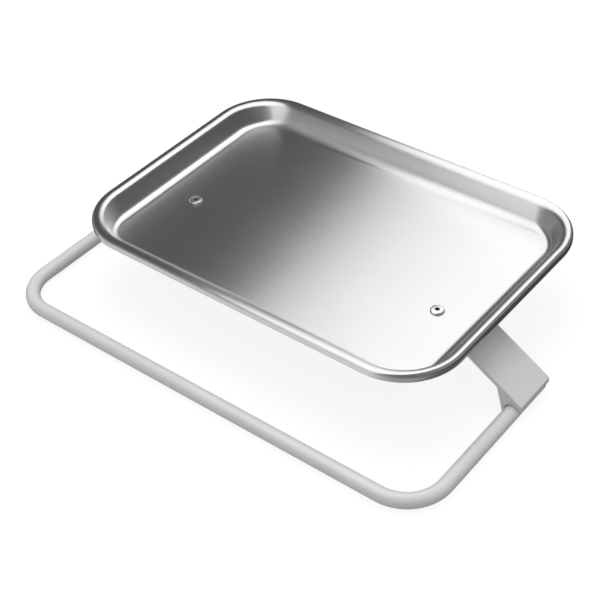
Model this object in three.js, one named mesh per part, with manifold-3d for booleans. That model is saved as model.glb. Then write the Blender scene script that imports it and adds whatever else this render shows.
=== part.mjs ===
// A shallow stainless instrument tray riveted to a cross carrier, which stands on a bent tube frame.
// Units are millimetres, +Z is up, +X runs along the tray's long side and -Y is the front.
// The origin is the centre of the footprint, on the surface that the tube frame stands on.
import * as THREE from 'three';
import { mergeVertices } from 'three/addons/utils/BufferGeometryUtils.js';
import Module from 'manifold-3d';

const wasm = await Module();
wasm.setup();

// ---- driving dimensions ----
const GAP = 0.3; // air left between pieces that touch on the real object

const TRAY_WIDTH = 346;
const TRAY_DEPTH = 244;
const TRAY_CENTRE_Y = 24.6; // the tray sits this far behind the carrier's centre line
const TRAY_SHEET = 0.8;
const TRAY_CORNER = 51; // plan radius of the rim's outer edge
const FLOOR_TOP = 50.2;
const FLOOR_CORNER = 18; // plan radius of the flat floor
const COVE_RADIUS = 9.5;
const WALL_LEAN = THREE.MathUtils.degToRad(31); // from vertical
const RIM_TOP = 68.6;
const SHOULDER_RADIUS = 7; // soft roll from the wall to the top of the rim
const RIM_FLAT = 0.5; // level strip along the top of the rim
const BEAD_RADIUS = 3; // rolled outer edge, outside radius
const SKIRT_HEIGHT = 1.8; // straight outer side between the bead's upper and lower turns
const BEAD_END = THREE.MathUtils.degToRad(315); // where the curl stops, under the rim

const CARRIER_WIDTH = 40;
const CARRIER_SHEET = 2;
const CARRIER_TOP = FLOOR_TOP - TRAY_SHEET - GAP;
const CARRIER_TIP_X = 208.3;
const CARRIER_BEND_X = 151; // where the sloping ends begin
const CARRIER_SLOPE = THREE.MathUtils.degToRad(31.8);
const BEND_RADIUS = 6; // outside radius of the carrier's bends
const FLANGE_DEPTH = 3.6; // turned-down edge, measured square to the top
const LIP_DEPTH = 4.7; // turned-down end, measured straight down

const TUBE_RADIUS = 6;
const TUBE_WALL = 1.5;
const TUBE_BEND = 33.5; // centre-line radius of the two corners
const ARM_X = 200.6;
const BAR_Y = -140.6;
const ARM_END_Y = 18.6;

const NOTCH_RADIUS = 6.6; // cut-out in each ear that the tube sits in
const EAR_TOP_X = 186.7; // where the ear leaves the flange
const EAR_LOW = new THREE.Vector2(-8.2, -4.4); // inner edge of the ear, from the tube's centre
const EAR_TOE = new THREE.Vector2(-6.6, -5.4); // lowest point of the ear, from the tube's centre
const NOTCH_END = THREE.MathUtils.degToRad(225); // the cut-out opens below this angle

const RIVET_X = 120.8;
const RIVET_SHANK = 3;
const RIVET_HOLE = RIVET_SHANK + GAP;
const RIVET_HEAD = 5.5;
const RIVET_HEAD_HEIGHT = 1.7;
const RIVET_EDGE = 0.5; // straight rim under the head's dome
const RIVET_SHOULDER = 4.3;
const RIVET_SHOULDER_HEIGHT = 1.36;
const RIVET_CROWN = 2.75; // where the dome flattens towards the bore
const RIVET_BORE = 1.8;
const RIVET_BULB = 4.5;
const RIVET_BULB_HEIGHT = 3.4;
const BULB_EASE = 1; // chamfer at the bulb's lower edge
const PIN_HEAD = 2.6;
const PIN_TIP = 1.6;
const PIN_HEAD_HEIGHT = 1.8;
const PIN_LENGTH = 4.6; // broken stem left inside the rivet

const PLUG_HEAD_HEIGHT = 1.4;
const PLUG_STEM_LENGTH = 8;
const PLUG_STEP = 0.2; // the plug's head is this much smaller in radius than the tube
const PLUG_EASE = 0.8;

const WELD_SIZE = 2.2; // leg of each weld bead between tube and ear
const WELD_FROM = THREE.MathUtils.degToRad(50);
const WELD_TO = THREE.MathUtils.degToRad(205);

const ROUND_STEPS = 24; // facets round a turned piece
const TUBE_SIDES = 20;
const TUBE_BEND_STEPS = 9;
const CORNER_STEPS = 9; // facets in a quarter of the tray's plan
const COVE_STEPS = 5;
const SHOULDER_STEPS = 4;
const BEAD_STEPS = 4; // facets in the bead's upper turn
const CURL_STEPS = 6; // facets in its lower turn
const NOTCH_STEPS = 14;
const BEND_STEPS = 3;

const MERGE_DISTANCE = 1e-4; // points closer than this are one point

const QUARTER = Math.PI / 2;

// ---- materials ----
const STAINLESS = { color: 0xbfc0c0, roughness: 0.32, metalness: 1 };
const PAINTED = { color: 0xc9c9c5, roughness: 0.45, metalness: 0 };
const RIVET_STEEL = { color: 0xb5b6b7, roughness: 0.28, metalness: 1 };
const PIN_STEEL = { color: 0x5c5c5e, roughness: 0.5, metalness: 1 };
const PLASTIC = { color: 0xc2c2be, roughness: 0.55, metalness: 0 };
const WELD_METAL = { color: 0xc4c4c0, roughness: 0.6, metalness: 0 };

// ---- solids ----
function toSolid(geometry) {
  const bare = geometry.clone();
  bare.deleteAttribute('normal');
  bare.deleteAttribute('uv');
  const merged = mergeVertices(bare, MERGE_DISTANCE);
  return new wasm.Manifold(
    new wasm.Mesh({
      numProp: 3,
      vertProperties: new Float32Array(merged.attributes.position.array),
      triVerts: new Uint32Array(merged.index.array),
    }),
  );
}

function toGeometry(solid) {
  const mesh = solid.getMesh();
  const geometry = new THREE.BufferGeometry();
  geometry.setAttribute('position', new THREE.BufferAttribute(new Float32Array(mesh.vertProperties), 3));
  geometry.setIndex(new THREE.BufferAttribute(new Uint32Array(mesh.triVerts), 1));
  geometry.computeVertexNormals();
  return geometry;
}

function join(geometries) {
  return toGeometry(geometries.map(toSolid).reduce((sum, solid) => sum.add(solid)));
}

function cut(geometry, tools) {
  return toGeometry(tools.map(toSolid).reduce((rest, tool) => rest.subtract(tool), toSolid(geometry)));
}

function named(name, geometry, look) {
  const mesh = new THREE.Mesh(geometry, new THREE.MeshStandardMaterial(look));
  mesh.name = name;
  return mesh;
}

// ---- tray ----
const LEAN_RISE = 1 - Math.sin(WALL_LEAN); // height that an arc of radius 1 takes up to the wall's lean
const SHOULDER_INSET = BEAD_RADIUS + RIM_FLAT;
const RIM_WIDTH = SHOULDER_INSET + SHOULDER_RADIUS * Math.cos(WALL_LEAN);
const WALL_TOP = RIM_TOP - SHOULDER_RADIUS * LEAN_RISE;
const WALL_LOW = FLOOR_TOP + COVE_RADIUS * LEAN_RISE;
const WALL_RUN = (WALL_TOP - WALL_LOW) * Math.tan(WALL_LEAN);
const FLOOR_INSET = RIM_WIDTH + WALL_RUN + COVE_RADIUS * Math.cos(WALL_LEAN);

// Plan radius of the tray at a given inset: parallel to the rim near the edge, tighter at the floor.
function planRadius(inset) {
  if (inset <= RIM_WIDTH) return TRAY_CORNER - inset;
  const share = (inset - RIM_WIDTH) / (FLOOR_INSET - RIM_WIDTH);
  return THREE.MathUtils.lerp(TRAY_CORNER - RIM_WIDTH, FLOOR_CORNER, share);
}

// One closed ring of points round the tray, counter-clockwise seen from above.
function planRing(inset, z) {
  const radius = planRadius(inset);
  const cornerX = TRAY_WIDTH / 2 - inset - radius;
  const cornerY = TRAY_DEPTH / 2 - inset - radius;
  const ring = [];
  for (let corner = 0; corner < 4; corner += 1) {
    const signX = corner === 0 || corner === 3 ? 1 : -1;
    const signY = corner < 2 ? 1 : -1;
    for (let step = 0; step <= CORNER_STEPS; step += 1) {
      const angle = (corner + step / CORNER_STEPS) * QUARTER;
      const x = signX * cornerX + radius * Math.cos(angle);
      const y = signY * cornerY + radius * Math.sin(angle);
      ring.push(new THREE.Vector3(x, TRAY_CENTRE_Y + y, z));
    }
  }
  return ring;
}

// One row of the sheet's upper side: its place, and the direction it faces at an angle above the inset axis.
function sectionPoint(centreInset, centreZ, radius, angle) {
  const faceInset = Math.cos(angle);
  const faceZ = Math.sin(angle);
  return { inset: centreInset + radius * faceInset, z: centreZ + radius * faceZ, faceInset, faceZ };
}

// The sheet's section from the floor to the end of the curl: cove, shoulder, and the bead's two turns.
function traySection() {
  const beadZ = RIM_TOP - BEAD_RADIUS;
  const turns = [
    [FLOOR_INSET, FLOOR_TOP + COVE_RADIUS, -COVE_RADIUS, QUARTER, WALL_LEAN, COVE_STEPS],
    [SHOULDER_INSET, RIM_TOP - SHOULDER_RADIUS, SHOULDER_RADIUS, WALL_LEAN, QUARTER, SHOULDER_STEPS],
    [BEAD_RADIUS, beadZ, BEAD_RADIUS, QUARTER, Math.PI, BEAD_STEPS],
    [BEAD_RADIUS, beadZ - SKIRT_HEIGHT, BEAD_RADIUS, Math.PI, BEAD_END, CURL_STEPS],
  ];
  const section = [];
  for (const [inset, z, radius, start, end, steps] of turns) {
    for (let step = 0; step <= steps; step += 1) {
      const angle = THREE.MathUtils.lerp(start, end, step / steps);
      section.push(sectionPoint(inset, z, radius, angle));
    }
  }
  return section;
}

// A closed skin through rings of equal length, with a flat fan closing the first and the last ring.
function loft(rings) {
  const count = rings[0].length;
  const points = rings.flat();
  const index = [];
  for (let ring = 0; ring + 1 < rings.length; ring += 1) {
    for (let i = 0; i < count; i += 1) {
      const a = ring * count + i;
      const b = ring * count + ((i + 1) % count);
      index.push(a, b, a + count, b, b + count, a + count);
    }
  }
  const last = (rings.length - 1) * count;
  for (let i = 1; i + 1 < count; i += 1) {
    index.push(0, i + 1, i);
    index.push(last, last + i, last + i + 1);
  }
  const geometry = new THREE.BufferGeometry().setFromPoints(points);
  geometry.setIndex(index);
  return geometry;
}

function cylinderAt(radius, x, y, low, high) {
  const geometry = new THREE.CylinderGeometry(radius, radius, high - low, ROUND_STEPS);
  geometry.rotateX(QUARTER);
  geometry.translate(x, y, (low + high) / 2);
  return geometry;
}

function rivetHoles(low, high) {
  return [-RIVET_X, RIVET_X].map((x) => cylinderAt(RIVET_HOLE, x, 0, low, high));
}

function trayPan() {
  const section = traySection();
  const lower = section.map((p) => ({
    inset: p.inset - TRAY_SHEET * p.faceInset,
    z: p.z - TRAY_SHEET * p.faceZ,
  }));
  const rings = [...lower, ...section.reverse()].map((p) => planRing(p.inset, p.z));
  return cut(loft(rings), rivetHoles(FLOOR_TOP - 2 * TRAY_SHEET, FLOOR_TOP + TRAY_SHEET));
}

// ---- carrier: one pressed strip with turned-down edges, ends and ears ----
// Right half of the strip's side view at a depth below its top face, from the middle to the tip.
function carrierEdge(depth) {
  const radius = BEND_RADIUS - depth;
  const centreZ = CARRIER_TOP - BEND_RADIUS;
  const points = [];
  for (let step = 0; step <= BEND_STEPS; step += 1) {
    const angle = QUARTER - (CARRIER_SLOPE * step) / BEND_STEPS;
    points.push(
      new THREE.Vector2(CARRIER_BEND_X + radius * Math.cos(angle), centreZ + radius * Math.sin(angle)),
    );
  }
  return points;
}

function carrierHeight(x, depth) {
  const start = carrierEdge(depth).at(-1);
  return start.y - (x - start.x) * Math.tan(CARRIER_SLOPE);
}

function tipPoint(depth) {
  return new THREE.Vector2(CARRIER_TIP_X, carrierHeight(CARRIER_TIP_X, depth));
}

// Closed side view of both halves, from a list of right-half points going from the top to the bottom.
function mirroredShape(right) {
  const left = right.map((p) => new THREE.Vector2(-p.x, p.y)).reverse();
  return new THREE.Shape([...right, ...left]);
}

function plateShape() {
  const upper = [...carrierEdge(0), tipPoint(0)];
  const lower = [...carrierEdge(CARRIER_SHEET), tipPoint(CARRIER_SHEET)].reverse();
  return mirroredShape([...upper, ...lower]);
}

function fromTube(offset) {
  return new THREE.Vector2(ARM_X + offset.x, TUBE_RADIUS + offset.y);
}

// The turned-down long edge with an ear at each end, cut out to sit over the tube.
function skirtShape() {
  const lipLow = tipPoint(0).y - LIP_DEPTH;
  const notchStart = Math.asin((lipLow - TUBE_RADIUS) / NOTCH_RADIUS);
  const notch = [];
  for (let step = 0; step <= NOTCH_STEPS; step += 1) {
    const angle = THREE.MathUtils.lerp(notchStart, NOTCH_END, step / NOTCH_STEPS);
    notch.push(fromTube(new THREE.Vector2(Math.cos(angle), Math.sin(angle)).multiplyScalar(NOTCH_RADIUS)));
  }
  const ear = [
    tipPoint(0),
    new THREE.Vector2(CARRIER_TIP_X, lipLow),
    ...notch,
    fromTube(EAR_TOE),
    fromTube(EAR_LOW),
    new THREE.Vector2(EAR_TOP_X, carrierHeight(EAR_TOP_X, FLANGE_DEPTH)),
  ];
  return mirroredShape([...carrierEdge(0), ...ear, ...carrierEdge(FLANGE_DEPTH).reverse()]);
}

// A side-view shape (X across, Z up) made solid from one Y to another.
function extrudeAlongY(shape, fromY, toY) {
  const geometry = new THREE.ExtrudeGeometry(shape, { depth: toY - fromY, bevelEnabled: false });
  geometry.rotateX(QUARTER);
  geometry.translate(0, toY, 0);
  return geometry;
}

function carrierLip(side) {
  const top = tipPoint(CARRIER_SHEET).y + CARRIER_SHEET / 2;
  const low = tipPoint(0).y - LIP_DEPTH;
  const lip = new THREE.BoxGeometry(CARRIER_SHEET, CARRIER_WIDTH, top - low);
  lip.translate(side * (CARRIER_TIP_X - CARRIER_SHEET / 2), 0, (top + low) / 2);
  return lip;
}

function carrier() {
  const half = CARRIER_WIDTH / 2;
  const body = join([
    extrudeAlongY(plateShape(), -half, half),
    extrudeAlongY(skirtShape(), -half, -half + CARRIER_SHEET),
    extrudeAlongY(skirtShape(), half - CARRIER_SHEET, half),
    carrierLip(-1),
    carrierLip(1),
  ]);
  return cut(body, rivetHoles(CARRIER_TOP - 2 * CARRIER_SHEET, CARRIER_TOP + CARRIER_SHEET));
}

// ---- tube frame ----
// A path whose stations are given one by one, so that straight runs stay single facets.
class StationPath extends THREE.Curve {
  constructor(stations) {
    super();
    this.stations = stations;
  }

  stationAt(u) {
    return this.stations[Math.round(u * (this.stations.length - 1))];
  }

  getPointAt(u, target = new THREE.Vector3()) {
    return target.copy(this.stationAt(u).point);
  }

  getTangentAt(u, target = new THREE.Vector3()) {
    return target.copy(this.stationAt(u).tangent);
  }
}

function frameStations() {
  const stations = [];
  const add = (x, y, directionX, directionY) => {
    stations.push({
      point: new THREE.Vector3(x, y, TUBE_RADIUS),
      tangent: new THREE.Vector3(directionX, directionY, 0),
    });
  };
  const cornerX = ARM_X - TUBE_BEND;
  const cornerY = BAR_Y + TUBE_BEND;
  add(-ARM_X, ARM_END_Y, 0, -1);
  for (const side of [-1, 1]) {
    for (let step = 0; step <= TUBE_BEND_STEPS; step += 1) {
      const share = side < 0 ? step : TUBE_BEND_STEPS - step;
      const angle = (QUARTER * share) / TUBE_BEND_STEPS;
      const x = side * (cornerX + TUBE_BEND * Math.cos(angle));
      const y = cornerY - TUBE_BEND * Math.sin(angle);
      add(x, y, Math.sin(angle), side * Math.cos(angle));
    }
  }
  add(ARM_X, ARM_END_Y, 0, 1);
  return stations;
}

function circlePoints(radius) {
  const points = [];
  for (let i = 0; i < TUBE_SIDES; i += 1) {
    const angle = (2 * Math.PI * i) / TUBE_SIDES;
    points.push(new THREE.Vector2(radius * Math.cos(angle), radius * Math.sin(angle)));
  }
  return points;
}

function frameTube() {
  const stations = frameStations();
  const section = new THREE.Shape(circlePoints(TUBE_RADIUS));
  section.holes.push(new THREE.Path(circlePoints(TUBE_RADIUS - TUBE_WALL)));
  const options = { steps: stations.length - 1, extrudePath: new StationPath(stations) };
  return new THREE.ExtrudeGeometry(section, options);
}

// ---- turned pieces ----
// A profile of [radius, height] pairs turned about Z. It starts and ends on the axis, or is a closed loop.
function turned(profile) {
  const points = profile.map(([radius, height]) => new THREE.Vector2(radius, height));
  const geometry = new THREE.LatheGeometry(points, ROUND_STEPS);
  geometry.rotateX(QUARTER);
  return geometry;
}

function rivetBody(x) {
  const seat = FLOOR_TOP + GAP;
  const under = CARRIER_TOP - CARRIER_SHEET - GAP;
  const low = under - RIVET_BULB_HEIGHT;
  const geometry = turned([
    [RIVET_BORE, low],
    [RIVET_BULB - BULB_EASE, low],
    [RIVET_BULB, low + BULB_EASE],
    [RIVET_BULB, under - BULB_EASE / 2],
    [RIVET_BULB - BULB_EASE / 2, under],
    [RIVET_SHANK, under],
    [RIVET_SHANK, seat],
    [RIVET_HEAD, seat],
    [RIVET_HEAD, seat + RIVET_EDGE],
    [RIVET_SHOULDER, seat + RIVET_SHOULDER_HEIGHT],
    [RIVET_CROWN, seat + RIVET_HEAD_HEIGHT],
    [RIVET_BORE, seat + RIVET_HEAD_HEIGHT],
    [RIVET_BORE, low],
  ]);
  geometry.translate(x, 0, 0);
  return geometry;
}

// The broken mandrel: its stem stays in the rivet's bore and its head sits under the bulb.
function rivetPin(x) {
  const under = CARRIER_TOP - CARRIER_SHEET - RIVET_BULB_HEIGHT - 2 * GAP;
  const geometry = turned([
    [0, under - PIN_HEAD_HEIGHT],
    [PIN_TIP, under - PIN_HEAD_HEIGHT],
    [PIN_HEAD, under - PIN_HEAD_HEIGHT / 2],
    [PIN_HEAD, under],
    [RIVET_BORE - GAP, under],
    [RIVET_BORE - GAP, under + PIN_LENGTH],
    [0, under + PIN_LENGTH],
  ]);
  geometry.translate(x, 0, 0);
  return geometry;
}

function tubePlug(x) {
  const stem = TUBE_RADIUS - TUBE_WALL - GAP;
  const head = ARM_END_Y + GAP;
  const rim = TUBE_RADIUS - PLUG_STEP;
  const geometry = turned([
    [0, head - PLUG_STEM_LENGTH],
    [stem - PLUG_EASE, head - PLUG_STEM_LENGTH],
    [stem, head - PLUG_STEM_LENGTH + PLUG_EASE],
    [stem, head],
    [rim, head],
    [rim, head + PLUG_HEAD_HEIGHT / 2],
    [rim - PLUG_EASE, head + PLUG_HEAD_HEIGHT],
    [0, head + PLUG_HEAD_HEIGHT],
  ]);
  geometry.rotateX(-QUARTER);
  geometry.translate(x, 0, TUBE_RADIUS);
  return geometry;
}

// A weld bead on the hidden face of an ear, following the cut-out round the tube.
function weldBead(side, end) {
  const inner = TUBE_RADIUS + GAP;
  const outer = inner + WELD_SIZE;
  const arc = (radius, from, to) => {
    const points = [];
    for (let step = 0; step <= NOTCH_STEPS; step += 1) {
      const angle = THREE.MathUtils.lerp(from, to, step / NOTCH_STEPS);
      const x = side * (ARM_X + radius * Math.cos(angle));
      points.push(new THREE.Vector2(x, TUBE_RADIUS + radius * Math.sin(angle)));
    }
    return points;
  };
  const shape = new THREE.Shape([...arc(outer, WELD_FROM, WELD_TO), ...arc(inner, WELD_TO, WELD_FROM)]);
  const face = CARRIER_WIDTH / 2 - CARRIER_SHEET - GAP;
  const near = end * face;
  const far = end * (face - WELD_SIZE);
  return extrudeAlongY(shape, Math.min(near, far), Math.max(near, far));
}

// ---- assembly ----
const object = new THREE.Group();
object.add(named('tray_pan', trayPan(), STAINLESS));
object.add(named('carrier_strip', carrier(), PAINTED));
object.add(named('frame_tube', frameTube(), PAINTED));
for (const [label, side] of [['left', -1], ['right', 1]]) {
  object.add(named(`rivet_${label}`, rivetBody(side * RIVET_X), RIVET_STEEL));
  object.add(named(`rivet_pin_${label}`, rivetPin(side * RIVET_X), PIN_STEEL));
  object.add(named(`tube_plug_${label}`, tubePlug(side * ARM_X), PLASTIC));
  object.add(named(`weld_front_${label}`, weldBead(side, -1), WELD_METAL));
  object.add(named(`weld_rear_${label}`, weldBead(side, 1), WELD_METAL));
}

export default object;
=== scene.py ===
"""A stainless instrument tray riveted to a powder-coated carrier on a bent tube frame.

Metres throughout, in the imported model's own frame: +X along the tray's long side, -Y the front, +Z up.
"""

import math

import bmesh
import bpy
from mathutils import Matrix, Vector


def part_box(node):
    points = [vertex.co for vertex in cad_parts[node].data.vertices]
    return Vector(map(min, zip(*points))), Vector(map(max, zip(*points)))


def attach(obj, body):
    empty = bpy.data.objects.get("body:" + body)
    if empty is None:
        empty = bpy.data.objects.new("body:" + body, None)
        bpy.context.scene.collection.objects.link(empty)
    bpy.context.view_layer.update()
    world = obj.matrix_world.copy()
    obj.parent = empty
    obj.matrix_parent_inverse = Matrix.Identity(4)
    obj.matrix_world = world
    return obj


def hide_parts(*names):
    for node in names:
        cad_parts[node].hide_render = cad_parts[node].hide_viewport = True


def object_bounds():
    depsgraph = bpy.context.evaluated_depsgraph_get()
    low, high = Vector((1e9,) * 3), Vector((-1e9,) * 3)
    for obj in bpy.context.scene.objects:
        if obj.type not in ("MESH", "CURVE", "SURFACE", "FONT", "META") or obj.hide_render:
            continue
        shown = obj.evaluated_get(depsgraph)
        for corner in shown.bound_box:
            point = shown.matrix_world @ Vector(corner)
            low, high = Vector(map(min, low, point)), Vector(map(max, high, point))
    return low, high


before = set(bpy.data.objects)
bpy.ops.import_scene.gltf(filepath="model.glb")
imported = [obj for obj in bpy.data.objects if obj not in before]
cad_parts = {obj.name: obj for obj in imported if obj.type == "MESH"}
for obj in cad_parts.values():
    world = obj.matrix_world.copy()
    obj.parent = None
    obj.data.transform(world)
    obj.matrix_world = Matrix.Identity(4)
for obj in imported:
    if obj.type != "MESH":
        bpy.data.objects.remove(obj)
CAD_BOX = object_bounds()
MM = 0.001
QUARTER = math.pi / 2


# ---- sizes taken from the frame ----
TRAY_LOW, TRAY_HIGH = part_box("tray_pan")
CARRIER_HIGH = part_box("carrier_strip")[1]
TUBE_LOW, TUBE_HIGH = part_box("frame_tube")
RIVET_LOW, RIVET_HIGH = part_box("rivet_right")
PIN_LOW, PIN_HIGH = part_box("rivet_pin_right")
PLUG_LOW, PLUG_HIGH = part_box("tube_plug_right")

GAP = 0.3 * MM
TINY = 1e-7
NEAR = 1e-6
SHARP_DEGREES = 40
STEEP = math.radians(50)

# tray
SHEET = 0.8 * MM
TRAY_HALF_X = 173 * MM
TRAY_HALF_Y = 122 * MM
TRAY_Y = 24.6 * MM
RIM_CORNER = 51 * MM
FLOOR_TOP = TRAY_LOW.z + SHEET
FLOOR_CORNER = 18 * MM
COVE = 9.5 * MM
LEAN = math.radians(31)
LEAN_RISE = 1 - math.sin(LEAN)
RIM_TOP = TRAY_HIGH.z
SHOULDER = 7 * MM
RIM_FLAT = 0.5 * MM
BEAD = 3 * MM
SKIRT = 1.8 * MM
BEAD_END = math.radians(315)
WALL_START = BEAD + RIM_FLAT + SHOULDER * math.cos(LEAN)
WALL_HEIGHT = RIM_TOP - FLOOR_TOP - (SHOULDER + COVE) * LEAN_RISE
FLOOR_INSET = WALL_START + WALL_HEIGHT * math.tan(LEAN) + COVE * math.cos(LEAN)
FLAT_BORDER = 1.2 * MM

# carrier
HALF_WIDTH = 20 * MM
PLATE = 2 * MM
CARRIER_TOP = CARRIER_HIGH.z
TIP_X = CARRIER_HIGH.x
BEND_X = 151 * MM
SLOPE = math.radians(31.8)
BEND = 6 * MM
FLANGE = 3.6 * MM
LIP = 4.7 * MM
FOLD_RADIUS = 0.9 * MM
EDGE_RADIUS = 0.3 * MM
NOTCH = 6.6 * MM
NOTCH_END = math.radians(225)
EAR_TOP_X = 186.7 * MM
EAR_LOW = (-8.2 * MM, -4.4 * MM)
EAR_TOE = (-6.6 * MM, -5.4 * MM)

# tube
TUBE = 6 * MM
TUBE_WALL = 1.5 * MM
TUBE_BEND = 33.5 * MM
ARM_X = TUBE_HIGH.x - TUBE
BAR_Y = TUBE_LOW.y + TUBE
ARM_END_Y = TUBE_HIGH.y

# rivets
RIVET_X = (RIVET_LOW.x + RIVET_HIGH.x) / 2
SHANK = 3 * MM
HOLE = SHANK + GAP
BORE = 1.8 * MM

# welds
WELD_SIZE = 2.1 * MM
RIPPLE_LOW = 0.93
RIPPLE_RISE = 0.07

CORNER_STEPS = 32
COVE_STEPS = 20
BEAD_STEPS = 18
CURL_STEPS = 24
SHOULDER_STEPS = 16
TUBE_SIDES = 56
TUBE_STEPS = 36
TURN_STEPS = 72
NOTCH_STEPS = 40
BEND_STEPS = 10
HOLE_STEPS = 40
PIN_STEPS = 36


# ---- mesh helpers ----
def new_object(name, mesh):
    obj = bpy.data.objects.new(name, mesh)
    bpy.context.scene.collection.objects.link(obj)
    return obj


def from_bmesh(name, bm, sharp_degrees=SHARP_DEGREES):
    """A smooth-shaded object from bm, with edges steeper than sharp_degrees kept crisp."""
    bmesh.ops.recalc_face_normals(bm, faces=bm.faces)
    mesh = bpy.data.meshes.new(name)
    bm.to_mesh(mesh)
    bm.free()
    mesh.shade_smooth()
    mesh.set_sharp_from_angle(angle=math.radians(sharp_degrees))
    return new_object(name, mesh)


def bake_modifiers(obj):
    """Replaces the mesh with what its modifiers make of it."""
    bpy.context.view_layer.update()
    shown = obj.evaluated_get(bpy.context.evaluated_depsgraph_get())
    mesh = bpy.data.meshes.new_from_object(shown)
    obj.modifiers.clear()
    obj.data = mesh
    mesh.shade_smooth()
    mesh.set_sharp_from_angle(angle=math.radians(SHARP_DEGREES))


def bridge(bm, first, second, closed=True):
    """Quads between two lists of vertices of equal length."""
    count = len(first)
    for i in range(count if closed else count - 1):
        j = (i + 1) % count
        bm.faces.new((first[i], first[j], second[j], second[i]))


def lathe(profile, name, steps=TURN_STEPS):
    """A profile of (radius, height) pairs turned about Z. Points on the axis become one vertex."""
    bm = bmesh.new()
    rings = []
    points = [p for p, before in zip(profile[1:], profile) if math.dist(p, before) > TINY]
    for radius, height in [profile[0], *points]:
        if radius < TINY:
            rings.append([bm.verts.new((0, 0, height))])
            continue
        angles = [2 * math.pi * i / steps for i in range(steps)]
        rings.append([bm.verts.new((radius * math.cos(a), radius * math.sin(a), height))
                      for a in angles])
    if math.dist(profile[0], profile[-1]) < TINY:
        for vert in rings.pop():
            bm.verts.remove(vert)
        rings.append(rings[0])
    for first, second in zip(rings, rings[1:]):
        if len(first) == len(second) == 1:
            continue
        for i in range(steps):
            j = (i + 1) % steps
            quad = (first[i % len(first)], first[j % len(first)],
                    second[j % len(second)], second[i % len(second)])
            bm.faces.new(list(dict.fromkeys(quad)))
    return from_bmesh(name, bm)


def arc(centre, radius, start, end, steps):
    """Points (across, up) on an arc, angles in degrees."""
    points = []
    for step in range(steps + 1):
        angle = math.radians(start + (end - start) * step / steps)
        points.append((centre[0] + radius * math.cos(angle), centre[1] + radius * math.sin(angle)))
    return points


# ---- tray: a drawn sheet with a coved floor and a rolled rim ----
def plan_radius(inset):
    if inset <= WALL_START:
        return RIM_CORNER - inset
    share = (inset - WALL_START) / (FLOOR_INSET - WALL_START)
    return RIM_CORNER - WALL_START + (FLOOR_CORNER - RIM_CORNER + WALL_START) * min(share, 1)


def plan_ring(inset):
    """Points round the tray at one inset, with each point's outward direction."""
    radius = plan_radius(inset)
    if inset > FLOOR_INSET:
        radius = FLOOR_CORNER - (inset - FLOOR_INSET)
    corner_x = TRAY_HALF_X - inset - radius
    corner_y = TRAY_HALF_Y - inset - radius
    ring = []
    for corner in range(4):
        sign_x = 1 if corner in (0, 3) else -1
        sign_y = 1 if corner < 2 else -1
        for step in range(CORNER_STEPS + 1):
            angle = (corner + step / CORNER_STEPS) * QUARTER
            out = Vector((math.cos(angle), math.sin(angle), 0))
            centre = Vector((sign_x * corner_x, TRAY_Y + sign_y * corner_y, 0))
            ring.append((centre + radius * out, out))
    return ring


def tray_section():
    """The sheet's upper side from the floor to the curl's end.

    Rows of inset, height, facing across, facing up, and length along the sheet.
    """
    rows = [(FLOOR_INSET + FLAT_BORDER, FLOOR_TOP, 0, 1, -FLAT_BORDER)]
    bead_z = RIM_TOP - BEAD
    for centre, centre_z, radius, start, end, steps in (
        (FLOOR_INSET, FLOOR_TOP + COVE, -COVE, QUARTER, LEAN, COVE_STEPS),
        (BEAD + RIM_FLAT, RIM_TOP - SHOULDER, SHOULDER, LEAN, QUARTER, SHOULDER_STEPS),
        (BEAD, bead_z, BEAD, QUARTER, math.pi, BEAD_STEPS),
        (BEAD, bead_z - SKIRT, BEAD, math.pi, BEAD_END, CURL_STEPS),
    ):
        for step in range(steps + 1):
            angle = start + (end - start) * step / steps
            across, up = math.cos(angle), math.sin(angle)
            inset, height = centre + radius * across, centre_z + radius * up
            along = rows[-1][4] + math.hypot(inset - rows[-1][0], height - rows[-1][1])
            rows.append((inset, height, across, up, along))
    return rows


def hole_ring(bm, x, height):
    points = arc((x, 0), HOLE, start=0, end=360, steps=HOLE_STEPS)[:-1]
    return [bm.verts.new((across, along, height)) for across, along in points]


def fill_flat(bm, rings):
    """Flat triangles between an outer ring and the hole rings inside it."""
    edges = []
    for ring in rings:
        for i, vert in enumerate(ring):
            other = ring[(i + 1) % len(ring)]
            edges.append(bm.edges.get((vert, other)) or bm.edges.new((vert, other)))
    bmesh.ops.triangle_fill(bm, use_beauty=True, use_dissolve=False, edges=edges)


def make_tray():
    bm = bmesh.new()
    blank = bm.verts.layers.float_vector.new("flat_place")
    rows = tray_section()
    lower = [(i - SHEET * a, z - SHEET * u, s) for i, z, a, u, s in rows]
    upper = [(i, z, s) for i, z, a, u, s in rows]
    rings = []
    for inset, height, along in [*lower, *reversed(upper)]:
        ring = []
        for (point, out), (flat, _) in zip(plan_ring(inset), plan_ring(FLOOR_INSET)):
            vert = bm.verts.new((point.x, point.y, height))
            vert[blank] = flat + out * along
            ring.append(vert)
        rings.append(ring)
    for first, second in zip(rings, rings[1:]):
        bridge(bm, first, second)
    holes = [[hole_ring(bm, x, z) for x in (-RIVET_X, RIVET_X)]
             for z in (FLOOR_TOP - SHEET, FLOOR_TOP)]
    for low_hole, high_hole in zip(*holes):
        bridge(bm, low_hole, high_hole)
        for vert in [*low_hole, *high_hole]:
            vert[blank] = vert.co
    fill_flat(bm, [rings[0], *holes[0]])
    fill_flat(bm, [rings[-1], *holes[1]])
    uv = bm.loops.layers.uv.new("blank")
    for face in bm.faces:
        for loop in face.loops:
            place = loop.vert[blank]
            loop[uv].uv = (place.y, place.x)
    bm.verts.layers.float_vector.remove(blank)
    tray = from_bmesh("tray_sheet", bm, sharp_degrees=50)
    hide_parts("tray_pan")
    return tray


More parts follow.
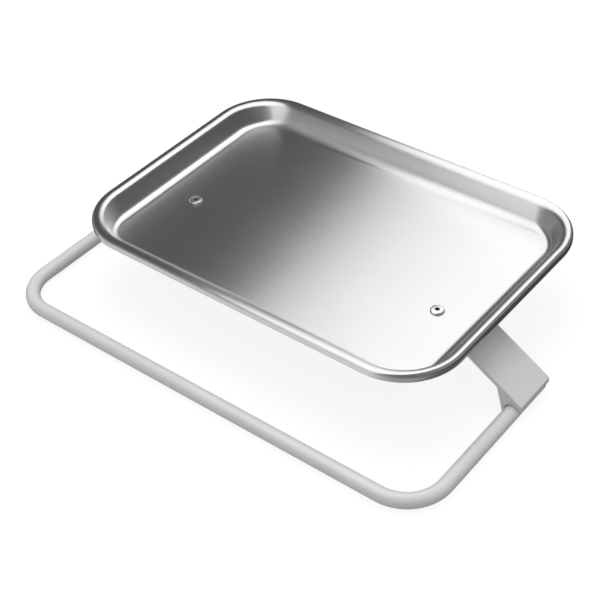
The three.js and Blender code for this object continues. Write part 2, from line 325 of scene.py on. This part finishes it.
# ---- carrier: a pressed strip with turned-down edges, ends and ears ----
def carrier_edge(depth):
    radius = BEND - depth
    centre_z = CARRIER_TOP - BEND
    points = []
    for step in range(BEND_STEPS + 1):
        angle = QUARTER - SLOPE * step / BEND_STEPS
        points.append((BEND_X + radius * math.cos(angle), centre_z + radius * math.sin(angle)))
    return points


def carrier_height(x, depth):
    start_x, start_z = carrier_edge(depth)[-1]
    return start_z - (x - start_x) * math.tan(SLOPE)


def ear_outline(lip_x):
    """Lower edge of the right half of a long side, from the tip to the middle of the strip."""
    lip_low = carrier_height(TIP_X, 0) - LIP
    start = math.asin((lip_low - TUBE) / NOTCH)
    points = [(lip_x, lip_low)]
    for step in range(NOTCH_STEPS + 1):
        angle = start + (NOTCH_END - start) * step / NOTCH_STEPS
        points.append((ARM_X + NOTCH * math.cos(angle), TUBE + NOTCH * math.sin(angle)))
    for across, up in (EAR_TOE, EAR_LOW):
        points.append((ARM_X + across, TUBE + up))
    points.append((EAR_TOP_X, carrier_height(EAR_TOP_X, FLANGE)))
    points.extend(reversed(carrier_edge(FLANGE)))
    return points


def mirrored(points):
    return [*points, *((-x, z) for x, z in reversed(points))]


def carrier_shell(bm, depth, half, tip):
    """One skin of the strip: top run, long sides and ends, at a depth inside the outer surface."""
    top = [*((-x, z) for x, z in reversed([*carrier_edge(depth), (tip, carrier_height(tip, depth))]))]
    top += [*carrier_edge(depth), (tip, carrier_height(tip, depth))]
    low = mirrored(ear_outline(tip))
    tops = {s: [bm.verts.new((x, s * half, z)) for x, z in top] for s in (-1, 1)}
    lows = {s: [bm.verts.new((x, s * half, z)) for x, z in low] for s in (-1, 1)}
    flat = len(top) // 2 - 1
    for i in range(len(top) - 1):
        if i != flat:
            bm.faces.new((tops[-1][i], tops[-1][i + 1], tops[1][i + 1], tops[1][i]))
    middle = [tops[-1][flat], tops[-1][flat + 1], tops[1][flat + 1], tops[1][flat]]
    height = top[flat][1]
    holes = [hole_ring(bm, x, height) for x in (-RIVET_X, RIVET_X)]
    fill_flat(bm, [middle, *holes])
    for side in (-1, 1):
        bm.faces.new([*tops[side], *lows[side]])
    for end in (0, -1):
        bm.faces.new((tops[-1][end], tops[1][end], lows[1][-1 - end], lows[-1][-1 - end]))
    return lows, holes


def weigh_edges(bm):
    """Bevel weights: outer folds get the press radius, cut edges a small one and inner folds none."""
    layer = bm.edges.layers.float.new("bevel_weight_edge")
    bend_end = BEND_X + BEND * math.sin(SLOPE)
    for edge in bm.edges:
        if len(edge.link_faces) != 2:
            continue
        if edge.calc_face_angle(0) <= STEEP:
            continue
        ends = [v.co for v in edge.verts]
        at_side = [abs(abs(p.y) - HALF_WIDTH) < NEAR for p in ends]
        at_tip = [abs(abs(p.x) - TIP_X) < NEAR for p in ends]
        outer = all(a or b for a, b in zip(at_side, at_tip))
        at_corner = all(at_side) and all(at_tip)
        on_top = all(p.z > carrier_height(max(abs(p.x), bend_end), 0) - NEAR
                     or p.z > CARRIER_TOP - BEND for p in ends)
        inside = all(abs(p.y) < HALF_WIDTH - NEAR for p in ends)
        if outer and (on_top or at_corner) and not inside:
            edge[layer] = 1
        elif not inside:
            edge[layer] = EDGE_RADIUS / FOLD_RADIUS


def make_carrier():
    bm = bmesh.new()
    outer, outer_holes = carrier_shell(bm, 0, HALF_WIDTH, TIP_X)
    inner, inner_holes = carrier_shell(bm, PLATE, HALF_WIDTH - PLATE, TIP_X - PLATE)
    for first, second in zip(outer_holes, inner_holes):
        bridge(bm, first, second)
    for side in (-1, 1):
        bridge(bm, outer[side], inner[side], closed=False)
    for end in (0, -1):
        bm.faces.new((outer[-1][end], outer[1][end], inner[1][end], inner[-1][end]))
    bmesh.ops.recalc_face_normals(bm, faces=bm.faces)
    weigh_edges(bm)
    carrier = from_bmesh("carrier_pressing", bm)
    bevel = carrier.modifiers.new("folds", "BEVEL")
    bevel.width = FOLD_RADIUS
    bevel.segments = 4
    bevel.limit_method = "WEIGHT"
    bevel.use_clamp_overlap = False
    carrier.modifiers.new("flat_faces", "TRIANGULATE").min_vertices = 5
    bake_modifiers(carrier)
    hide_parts("carrier_strip")
    return carrier


# ---- tube frame: one tube, two bends ----
def tube_stations():
    """(centre, direction) along the tube's centre line, from the left arm's end to the right arm's."""
    corner_x = ARM_X - TUBE_BEND
    corner_y = BAR_Y + TUBE_BEND
    stations = [(Vector((-ARM_X, ARM_END_Y, TUBE)), Vector((0, -1, 0)))]
    for side in (-1, 1):
        for step in range(TUBE_STEPS + 1):
            share = step if side < 0 else TUBE_STEPS - step
            angle = QUARTER * share / TUBE_STEPS
            x = side * (corner_x + TUBE_BEND * math.cos(angle))
            y = corner_y - TUBE_BEND * math.sin(angle)
            along = Vector((math.sin(angle), side * math.cos(angle), 0))
            stations.append((Vector((x, y, TUBE)), along))
    stations.append((Vector((ARM_X, ARM_END_Y, TUBE)), Vector((0, 1, 0))))
    return stations


def tube_ring(bm, station, radius):
    centre, along = station
    up = Vector((0, 0, 1))
    across = along.cross(up).normalized()
    ring = []
    for i in range(TUBE_SIDES):
        angle = 2 * math.pi * i / TUBE_SIDES
        out = math.cos(angle) * across + math.sin(angle) * up
        ring.append(bm.verts.new(centre + radius * out))
    return ring


def make_tube():
    bm = bmesh.new()
    stations = tube_stations()
    skins = []
    for radius in (TUBE, TUBE - TUBE_WALL):
        rings = [tube_ring(bm, station, radius) for station in stations]
        for first, second in zip(rings, rings[1:]):
            bridge(bm, first, second)
        skins.append(rings)
    for end in (0, -1):
        bridge(bm, skins[0][end], skins[1][end])
    tube = from_bmesh("bent_tube", bm)
    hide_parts("frame_tube")
    return tube


# ---- turned pieces ----
def make_rivet(side):
    """A domed blind rivet: flange with a soft rim, open bore, and the bulb set under the carrier."""
    height = 1.7 * MM
    flange = 5.5 * MM
    rim = 0.35 * MM
    edge = 1.05 * MM
    chamfer = 0.2 * MM
    bulb_edge = 1 * MM
    bulb_shoulder = 0.5 * MM
    low = RIVET_LOW.z
    under = low + 3.4 * MM
    seat = RIVET_HIGH.z - height
    profile = [(BORE, low + chamfer), (BORE + chamfer, low)]
    profile += arc((3.5 * MM, low + bulb_edge), bulb_edge, start=-90, end=0, steps=8)
    profile += arc((4.0 * MM, under - bulb_shoulder), bulb_shoulder, start=0, end=90, steps=5)
    profile += [(SHANK, under), (SHANK, seat), (flange - rim, seat)]
    profile += arc((flange - rim, seat + rim), rim, start=-90, end=0, steps=6)
    profile += arc((flange - edge, seat + rim), edge, start=6, end=78, steps=12)
    profile += [(3.4 * MM, seat + height - 0.1 * MM), (2.4 * MM, seat + height)]
    profile += arc((2.15 * MM, seat + height - rim), rim, start=80, end=180, steps=7)
    profile += [(BORE, low + chamfer)]
    rivet = lathe(profile, f"blind_rivet_{'left' if side < 0 else 'right'}")
    rivet.data.transform(Matrix.Translation((side * RIVET_X, 0, 0)))
    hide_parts(f"rivet_{'left' if side < 0 else 'right'}")
    return rivet


def make_pin(side):
    """The broken mandrel: a round head under the bulb and a stem with a torn end in the bore."""
    low, high = PIN_LOW.z, PIN_HIGH.z
    head = 2.6 * MM
    dome = 0.9 * MM
    dome_steps = 8
    top = low + 1.8 * MM
    stem = BORE - GAP
    profile = [(0, low)]
    profile += [(head * math.sin(a), low + dome * (1 - math.cos(a))) for a in
                (QUARTER * step / dome_steps for step in range(1, dome_steps + 1))]
    profile += [(head, top), (stem, top)]
    torn_end = ((1, 0.5), (0.9, 0.15), (0.6, 0), (0.3, 0.2), (0, 0.1))
    profile += [(stem * share, high - depth * MM) for share, depth in torn_end]
    pin = lathe(profile, f"mandrel_{'left' if side < 0 else 'right'}", steps=PIN_STEPS)
    pin.data.transform(Matrix.Translation((side * RIVET_X, 0, 0)))
    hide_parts(f"rivet_pin_{'left' if side < 0 else 'right'}")
    return pin


def make_plug(side):
    """A push-in end plug: low domed head and a ribbed stem inside the tube."""
    inner = TUBE - TUBE_WALL - GAP
    core = inner - 0.7 * MM
    rim = TUBE - 0.2 * MM
    rim_edge = 0.9 * MM
    ribs = 4
    low = PLUG_LOW.y
    face = PLUG_HIGH.y
    head = face - 1.4 * MM
    profile = [(0, low), (inner - 1.4 * MM, low), (inner - 0.8 * MM, low + 0.8 * MM)]
    rib = (head - low - 1.2 * MM) / ribs
    for i in range(ribs):
        start = low + 0.9 * MM + i * rib
        profile += [(core, start), (inner, start + 0.35 * rib), (core, start + 0.8 * rib)]
    profile += [(core, head), (rim, head)]
    profile += arc((rim - rim_edge, face - rim_edge), rim_edge, start=0, end=70, steps=8)
    profile += [(rim * 0.45, face - 0.02 * MM), (0, face)]
    plug = lathe(profile, f"end_plug_{'left' if side < 0 else 'right'}")
    plug.data.transform(Matrix.Rotation(-QUARTER, 4, "X"))
    plug.data.transform(Matrix.Translation((side * ARM_X, 0, TUBE)))
    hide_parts(f"tube_plug_{'left' if side < 0 else 'right'}")
    return plug


# ---- weld beads: stacked ripples round the tube, on the hidden face of each ear ----
def make_weld(side, end):
    bm = bmesh.new()
    start, stop = math.radians(52), math.radians(203)
    steps, sides, ripples, taper = 110, 12, 17, 9
    face = HALF_WIDTH - PLATE - GAP
    inner = TUBE + GAP
    rings = []
    for step in range(steps + 1):
        share = step / steps
        angle = start + (stop - start) * share
        ends = min(1, share * taper, (1 - share) * taper)
        ripple = RIPPLE_LOW + RIPPLE_RISE * abs(math.sin(share * ripples * math.pi))
        size = WELD_SIZE * math.sqrt(max(ends, 0.05)) * ripple
        ring = []
        for i in range(sides + 1):
            turn = QUARTER * i / sides
            radius = inner + size * math.cos(turn)
            depth = size * math.sin(turn)
            x = side * (ARM_X + radius * math.cos(angle))
            ring.append(bm.verts.new((x, end * (face - depth), TUBE + radius * math.sin(angle))))
        x = side * (ARM_X + inner * math.cos(angle))
        ring.append(bm.verts.new((x, end * face, TUBE + inner * math.sin(angle))))
        rings.append(ring)
    for first, second in zip(rings, rings[1:]):
        bridge(bm, first, second)
    bm.faces.new(rings[0])
    bm.faces.new(rings[-1])
    place = f"{'front' if end < 0 else 'rear'}_{'left' if side < 0 else 'right'}"
    weld = from_bmesh(f"weld_bead_{place}", bm)
    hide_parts(f"weld_{place}")
    return weld


# ---- material helpers ----
class Nodes:
    """A small wrapper that adds and links the nodes of one material."""

    def __init__(self, name):
        self.material = bpy.data.materials.new(name)
        self.material.use_nodes = True
        self.tree = self.material.node_tree
        self.shader = self.tree.nodes["Principled BSDF"]

    def add(self, kind, inputs=None, **settings):
        node = self.tree.nodes.new(kind)
        for key, value in settings.items():
            setattr(node, key, value)
        for key, value in (inputs or {}).items():
            if isinstance(value, bpy.types.NodeSocket):
                self.tree.links.new(value, node.inputs[key])
            else:
                node.inputs[key].default_value = value
        return node

    def noise(self, vector, scale, detail=3.0, roughness=0.5):
        node = self.add("ShaderNodeTexNoise", {"Vector": vector, "Scale": scale, "Detail": detail,
                                               "Roughness": roughness})
        return node.outputs["Fac"]

    def spread(self, value, low, high, from_low=0.25, from_high=0.75):
        inputs = {"Value": value, "From Min": from_low, "From Max": from_high,
                  "To Min": low, "To Max": high}
        return self.add("ShaderNodeMapRange", inputs).outputs["Result"]

    def math(self, operation, first, second):
        return self.add("ShaderNodeMath", {0: first, 1: second}, operation=operation).outputs["Value"]

    def stretch(self, vector, scale):
        return self.add("ShaderNodeMapping", {"Vector": vector, "Scale": scale}).outputs["Vector"]

    def tint(self, value, dark, light):
        mix = self.add("ShaderNodeMix", data_type="RGBA")
        mix.inputs["A"].default_value = (*dark, 1)
        mix.inputs["B"].default_value = (*light, 1)
        self.tree.links.new(value, mix.inputs["Factor"])
        return mix.outputs["Result"]

    def into(self, socket, value):
        if isinstance(value, bpy.types.NodeSocket):
            self.tree.links.new(value, self.shader.inputs[socket])
        else:
            self.shader.inputs[socket].default_value = value

    def bump(self, height, strength, distance):
        inputs = {"Height": height, "Strength": strength, "Distance": distance}
        self.into("Normal", self.add("ShaderNodeBump", inputs).outputs["Normal"])


def brushed_stainless():
    """Satin sheet brushed along X before it was drawn, so the grain runs up the short walls."""
    nodes = Nodes("brushed_stainless")
    flat = nodes.add("ShaderNodeUVMap", uv_map="blank").outputs["UV"]
    fine = nodes.noise(nodes.stretch(flat, (1500, 45, 1)), scale=1.0, detail=4.0, roughness=0.6)
    broad = nodes.noise(nodes.stretch(flat, (260, 9, 1)), scale=1.0, detail=3.0, roughness=0.5)
    cloud = nodes.noise(nodes.stretch(flat, (14, 9, 1)), scale=1.0, detail=2.0, roughness=0.5)
    streaks = nodes.math("ADD", nodes.math("MULTIPLY", fine, 0.6), nodes.math("MULTIPLY", broad, 0.4))
    tone = nodes.spread(streaks, low=0, high=1, from_low=0.35, from_high=0.65)
    nodes.into("Base Color", nodes.tint(tone, dark=(0.68, 0.68, 0.683), light=(0.715, 0.715, 0.715)))
    grain = nodes.spread(streaks, low=0.345, high=0.38, from_low=0.35, from_high=0.65)
    nodes.into("Roughness", nodes.math("ADD", grain, nodes.spread(cloud, low=-0.015, high=0.015)))
    nodes.into("Metallic", 1.0)
    nodes.into("Anisotropic", 0.95)
    along = nodes.add("ShaderNodeTangent", direction_type="UV_MAP", uv_map="blank")
    nodes.into("Tangent", along.outputs["Tangent"])
    nodes.bump(streaks, strength=0.09, distance=0.02 * MM)
    return nodes.material


def rivet_steel():
    """Plated steel, tumbled bright, with fine handling scratches."""
    nodes = Nodes("rivet_steel")
    place = nodes.add("ShaderNodeTexCoord").outputs["Object"]
    cloud = nodes.noise(place, scale=900, detail=4.0, roughness=0.6)
    scratch = nodes.noise(nodes.stretch(place, (5000, 400, 900)), scale=1.0, detail=3.0, roughness=0.5)
    nodes.into("Base Color", nodes.tint(cloud, (0.60, 0.60, 0.61), (0.76, 0.76, 0.76)))
    worn = nodes.spread(scratch, low=0, high=0.05)
    nodes.into("Roughness", nodes.math("ADD", nodes.spread(cloud, low=0.24, high=0.34), worn))
    nodes.into("Metallic", 1.0)
    nodes.bump(scratch, strength=0.1, distance=0.02 * MM)
    return nodes.material


def pin_painted_bore_shade():
    """Dull broken steel in the bore, tinted near black: painted shade standing in for the dark of the
    deep bore.
    """
    nodes = Nodes("mandrel_painted_bore_shade")
    place = nodes.add("ShaderNodeTexCoord").outputs["Object"]
    grain = nodes.noise(place, scale=3500, detail=5.0, roughness=0.7)
    # near-black tint is painted shade of the bore, darker than the steel's own colour
    nodes.into("Base Color", nodes.tint(grain, (0.05, 0.05, 0.052), (0.16, 0.16, 0.165)))
    nodes.into("Roughness", nodes.spread(grain, low=0.45, high=0.65))
    nodes.into("Metallic", 1.0)
    nodes.bump(grain, strength=0.6, distance=0.15 * MM)
    return nodes.material


def powder_coat(name, light=(0.69, 0.69, 0.672), ripple=0.35):
    """Light warm grey powder coat: faint orange peel and slight cloudiness."""
    nodes = Nodes(name)
    place = nodes.add("ShaderNodeTexCoord").outputs["Object"]
    peel = nodes.noise(place, scale=620, detail=2.0, roughness=0.45)
    fine = nodes.noise(place, scale=2600, detail=3.0, roughness=0.6)
    cloud = nodes.noise(place, scale=26, detail=3.0, roughness=0.5)
    dark = tuple(0.955 * c for c in light)
    tone = nodes.spread(cloud, low=0, high=1, from_low=0.3, from_high=0.7)
    nodes.into("Base Color", nodes.tint(tone, dark, light))
    speckle = nodes.spread(fine, low=-0.02, high=0.02)
    nodes.into("Roughness", nodes.math("ADD", nodes.spread(peel, low=0.29, high=0.36), speckle))
    nodes.into("Specular IOR Level", 0.5)
    height = nodes.math("ADD", peel, nodes.math("MULTIPLY", fine, 0.25))
    nodes.bump(height, strength=ripple, distance=0.08 * MM)
    return nodes.material


def moulded_plastic():
    """Matt grey polyethylene plug with a fine spark-eroded grain."""
    nodes = Nodes("plug_plastic")
    place = nodes.add("ShaderNodeTexCoord").outputs["Object"]
    grain = nodes.noise(place, scale=4200, detail=2.0, roughness=0.5)
    cloud = nodes.noise(place, scale=120, detail=2.0, roughness=0.5)
    nodes.into("Base Color", nodes.tint(cloud, (0.57, 0.57, 0.55), (0.62, 0.62, 0.60)))
    nodes.into("Roughness", nodes.spread(grain, low=0.48, high=0.6))
    nodes.bump(grain, strength=0.3, distance=0.04 * MM)
    return nodes.material


def floor_paper():
    """Plain white studio surface that glows evenly, so that only a faint shadow falls on it."""
    nodes = Nodes("studio_paper")
    place = nodes.add("ShaderNodeTexCoord").outputs["Object"]
    tone = nodes.noise(place, scale=3.0, detail=2.0, roughness=0.5)
    nodes.into("Base Color", nodes.tint(tone, (0.17, 0.17, 0.17), (0.18, 0.18, 0.18)))
    nodes.into("Roughness", 0.9)
    nodes.into("Specular IOR Level", 0.0)
    nodes.into("Emission Color", (1.0, 1.0, 1.0, 1.0))
    nodes.into("Emission Strength", 0.86)
    return nodes.material


# ---- assembly ----
def dress(obj, material):
    obj.data.materials.clear()
    obj.data.materials.append(material)
    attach(obj, "root")


paint = powder_coat("powder_coat")
weld_paint = powder_coat("powder_coat_on_weld", light=(0.67, 0.67, 0.652), ripple=0.8)
rivet_look = rivet_steel()
# the mandrel material is tinted near black as painted shade of the rivet bore
pin_painted_shade_look = pin_painted_bore_shade()
plug_look = moulded_plastic()

dress(make_tray(), brushed_stainless())
dress(make_carrier(), paint)
dress(make_tube(), paint)
for side in (-1, 1):
    dress(make_rivet(side), rivet_look)
    dress(make_pin(side), pin_painted_shade_look)
    dress(make_plug(side), plug_look)
    for end in (-1, 1):
        dress(make_weld(side, end), weld_paint)


# ---- studio ----
FLOOR_HALF = 6.0
FLOOR_DROP = 0.1 * MM


def make_floor():
    mesh = bpy.data.meshes.new("studio_floor")
    half = FLOOR_HALF
    level = CAD_BOX[0].z - FLOOR_DROP
    corners = [(-half, -half, level), (half, -half, level), (half, half, level), (-half, half, level)]
    mesh.from_pydata(corners, [], [(0, 1, 2, 3)])
    floor = new_object("studio_floor", mesh)
    mesh.materials.append(floor_paper())
    floor.visible_glossy = False
    floor.visible_diffuse = False


HORIZON_GLOW = 0.5
BACK_GLOW = 0.13
ROOM_GLOW = 0.105
SIDE_GLOW = 0.13
SIDE_TOP_GLOW = 0.9
CAMERA_SIDE_GLOW = 0.04
BELOW_FRONT_LEFT = 1.35
BELOW_FRONT_RIGHT = 0.5
BELOW_BACK = 0.03
MATT_ABOVE = 1.15
MATT_LEVEL = 0.4
MATT_BELOW = 0.62


def make_world():
    """White for the camera, a soft gradient for matt surfaces and a dim room for shiny ones.

    The room is paler at the front, dark on the camera's side and bright below the front left.
    """
    world = bpy.data.worlds.new("studio")
    bpy.context.scene.world = world
    world.use_nodes = True
    tree = world.node_tree
    tree.nodes.clear()
    add = tree.nodes.new
    link = tree.links.new

    def ramp(value, low, high, to_low, to_high):
        node = add("ShaderNodeMapRange")
        node.interpolation_type = "SMOOTHSTEP"
        numbers = {"From Min": low, "From Max": high, "To Min": to_low, "To Max": to_high}
        for key, number in numbers.items():
            if isinstance(number, bpy.types.NodeSocket):
                link(number, node.inputs[key])
            else:
                node.inputs[key].default_value = number
        link(value, node.inputs["Value"])
        return node.outputs["Result"]

    direction = add("ShaderNodeTexCoord").outputs["Generated"]
    axes = add("ShaderNodeSeparateXYZ")
    link(direction, axes.inputs["Vector"])
    x, y, z = axes.outputs["X"], axes.outputs["Y"], axes.outputs["Z"]
    front = ramp(y, low=-0.6, high=0.1, to_low=HORIZON_GLOW, to_high=BACK_GLOW)
    above = ramp(z, low=0.0, high=0.75, to_low=front, to_high=ROOM_GLOW)
    right = ramp(z, low=0.32, high=0.75, to_low=SIDE_GLOW, to_high=SIDE_TOP_GLOW)
    side = ramp(y, low=-0.4, high=0.3, to_low=CAMERA_SIDE_GLOW, to_high=right)
    above_side = ramp(x, low=0.15, high=0.55, to_low=above, to_high=side)
    below_front = ramp(x, low=-0.3, high=0.45, to_low=BELOW_FRONT_LEFT, to_high=BELOW_FRONT_RIGHT)
    below = ramp(y, low=-0.45, high=0.15, to_low=below_front, to_high=BELOW_BACK)
    room = ramp(z, low=-0.15, high=0.12, to_low=below, to_high=above_side)
    shiny = add("ShaderNodeBackground")
    link(room, shiny.inputs["Strength"])
    matt = add("ShaderNodeBackground")
    sky = ramp(z, low=0.0, high=1.0, to_low=MATT_LEVEL, to_high=MATT_ABOVE)
    link(ramp(z, low=-0.2, high=0.0, to_low=MATT_BELOW, to_high=sky), matt.inputs["Strength"])
    path = add("ShaderNodeLightPath")
    mix = add("ShaderNodeMixShader")
    link(path.outputs["Is Glossy Ray"], mix.inputs["Fac"])
    link(matt.outputs["Background"], mix.inputs[1])
    link(shiny.outputs["Background"], mix.inputs[2])
    seen = add("ShaderNodeMixShader")
    link(path.outputs["Is Camera Ray"], seen.inputs["Fac"])
    link(mix.outputs["Shader"], seen.inputs[1])
    white = add("ShaderNodeBackground")
    white.inputs["Color"].default_value = (1.0, 1.0, 1.0, 1.0)
    link(white.outputs["Background"], seen.inputs[2])
    out = add("ShaderNodeOutputWorld")
    link(seen.outputs["Shader"], out.inputs["Surface"])


def area_light(name, centre, size_x, size_y, radiance, aim=(0, 0, -1)):
    """A rectangular light whose strength is given as the radiance of its face."""
    light = bpy.data.lights.new(name, "AREA")
    light.shape = "RECTANGLE"
    light.size = size_x
    light.size_y = size_y
    light.energy = radiance * math.pi * size_x * size_y
    lamp = new_object(name, light)
    lamp.location = centre
    lamp.rotation_mode = "QUATERNION"
    lamp.rotation_quaternion = Vector(aim).to_track_quat("-Z", "Y")
    lamp.visible_camera = False
    return lamp


SOFTBOX_CENTRE = (-0.052, 0.3, 0.39)
SOFTBOX_RADIANCE = 1.6
KEY_CENTRE = (-0.35, 0.35, 1.9)
KEY_SIZE = 1.2
KEY_RADIANCE = 3.4


def make_lights():
    """A long softbox that lights only shiny surfaces, and a high key that lights only matt ones."""
    softbox = area_light("softbox_over_tray", SOFTBOX_CENTRE, size_x=0.344, size_y=1.6,
                         radiance=SOFTBOX_RADIANCE)
    softbox.visible_diffuse = False
    aim = tuple(-part for part in KEY_CENTRE)
    key = area_light("soft_key", KEY_CENTRE, KEY_SIZE, KEY_SIZE, KEY_RADIANCE, aim=aim)
    key.visible_glossy = False


def make_camera():
    """The photograph's viewpoint: 41 degrees up, 40 degrees round to the right, slightly rolled."""
    azimuth = math.radians(40.40)
    elevation = math.radians(40.82)
    roll = math.radians(-3.48)
    distance = 1.00795
    target = Vector((0.04031, -0.06291, 0.0654))
    level = math.cos(elevation)
    back = Vector((math.sin(azimuth) * level, -math.cos(azimuth) * level, math.sin(elevation)))
    right = Vector((math.cos(azimuth), math.sin(azimuth), 0))
    up = back.cross(right)
    rolled_right = right * math.cos(roll) + up * math.sin(roll)
    rolled_up = up * math.cos(roll) - right * math.sin(roll)
    data = bpy.data.cameras.new("camera")
    data.lens = 81.3
    data.sensor_width = 36
    camera = new_object("camera", data)
    turn = Matrix((rolled_right, rolled_up, back)).transposed().to_4x4()
    camera.matrix_world = Matrix.Translation(target + back * distance) @ turn
    bpy.context.scene.camera = camera


bpy.context.scene.view_settings.view_transform = "Standard"
make_floor()
make_world()
make_lights()
make_camera()
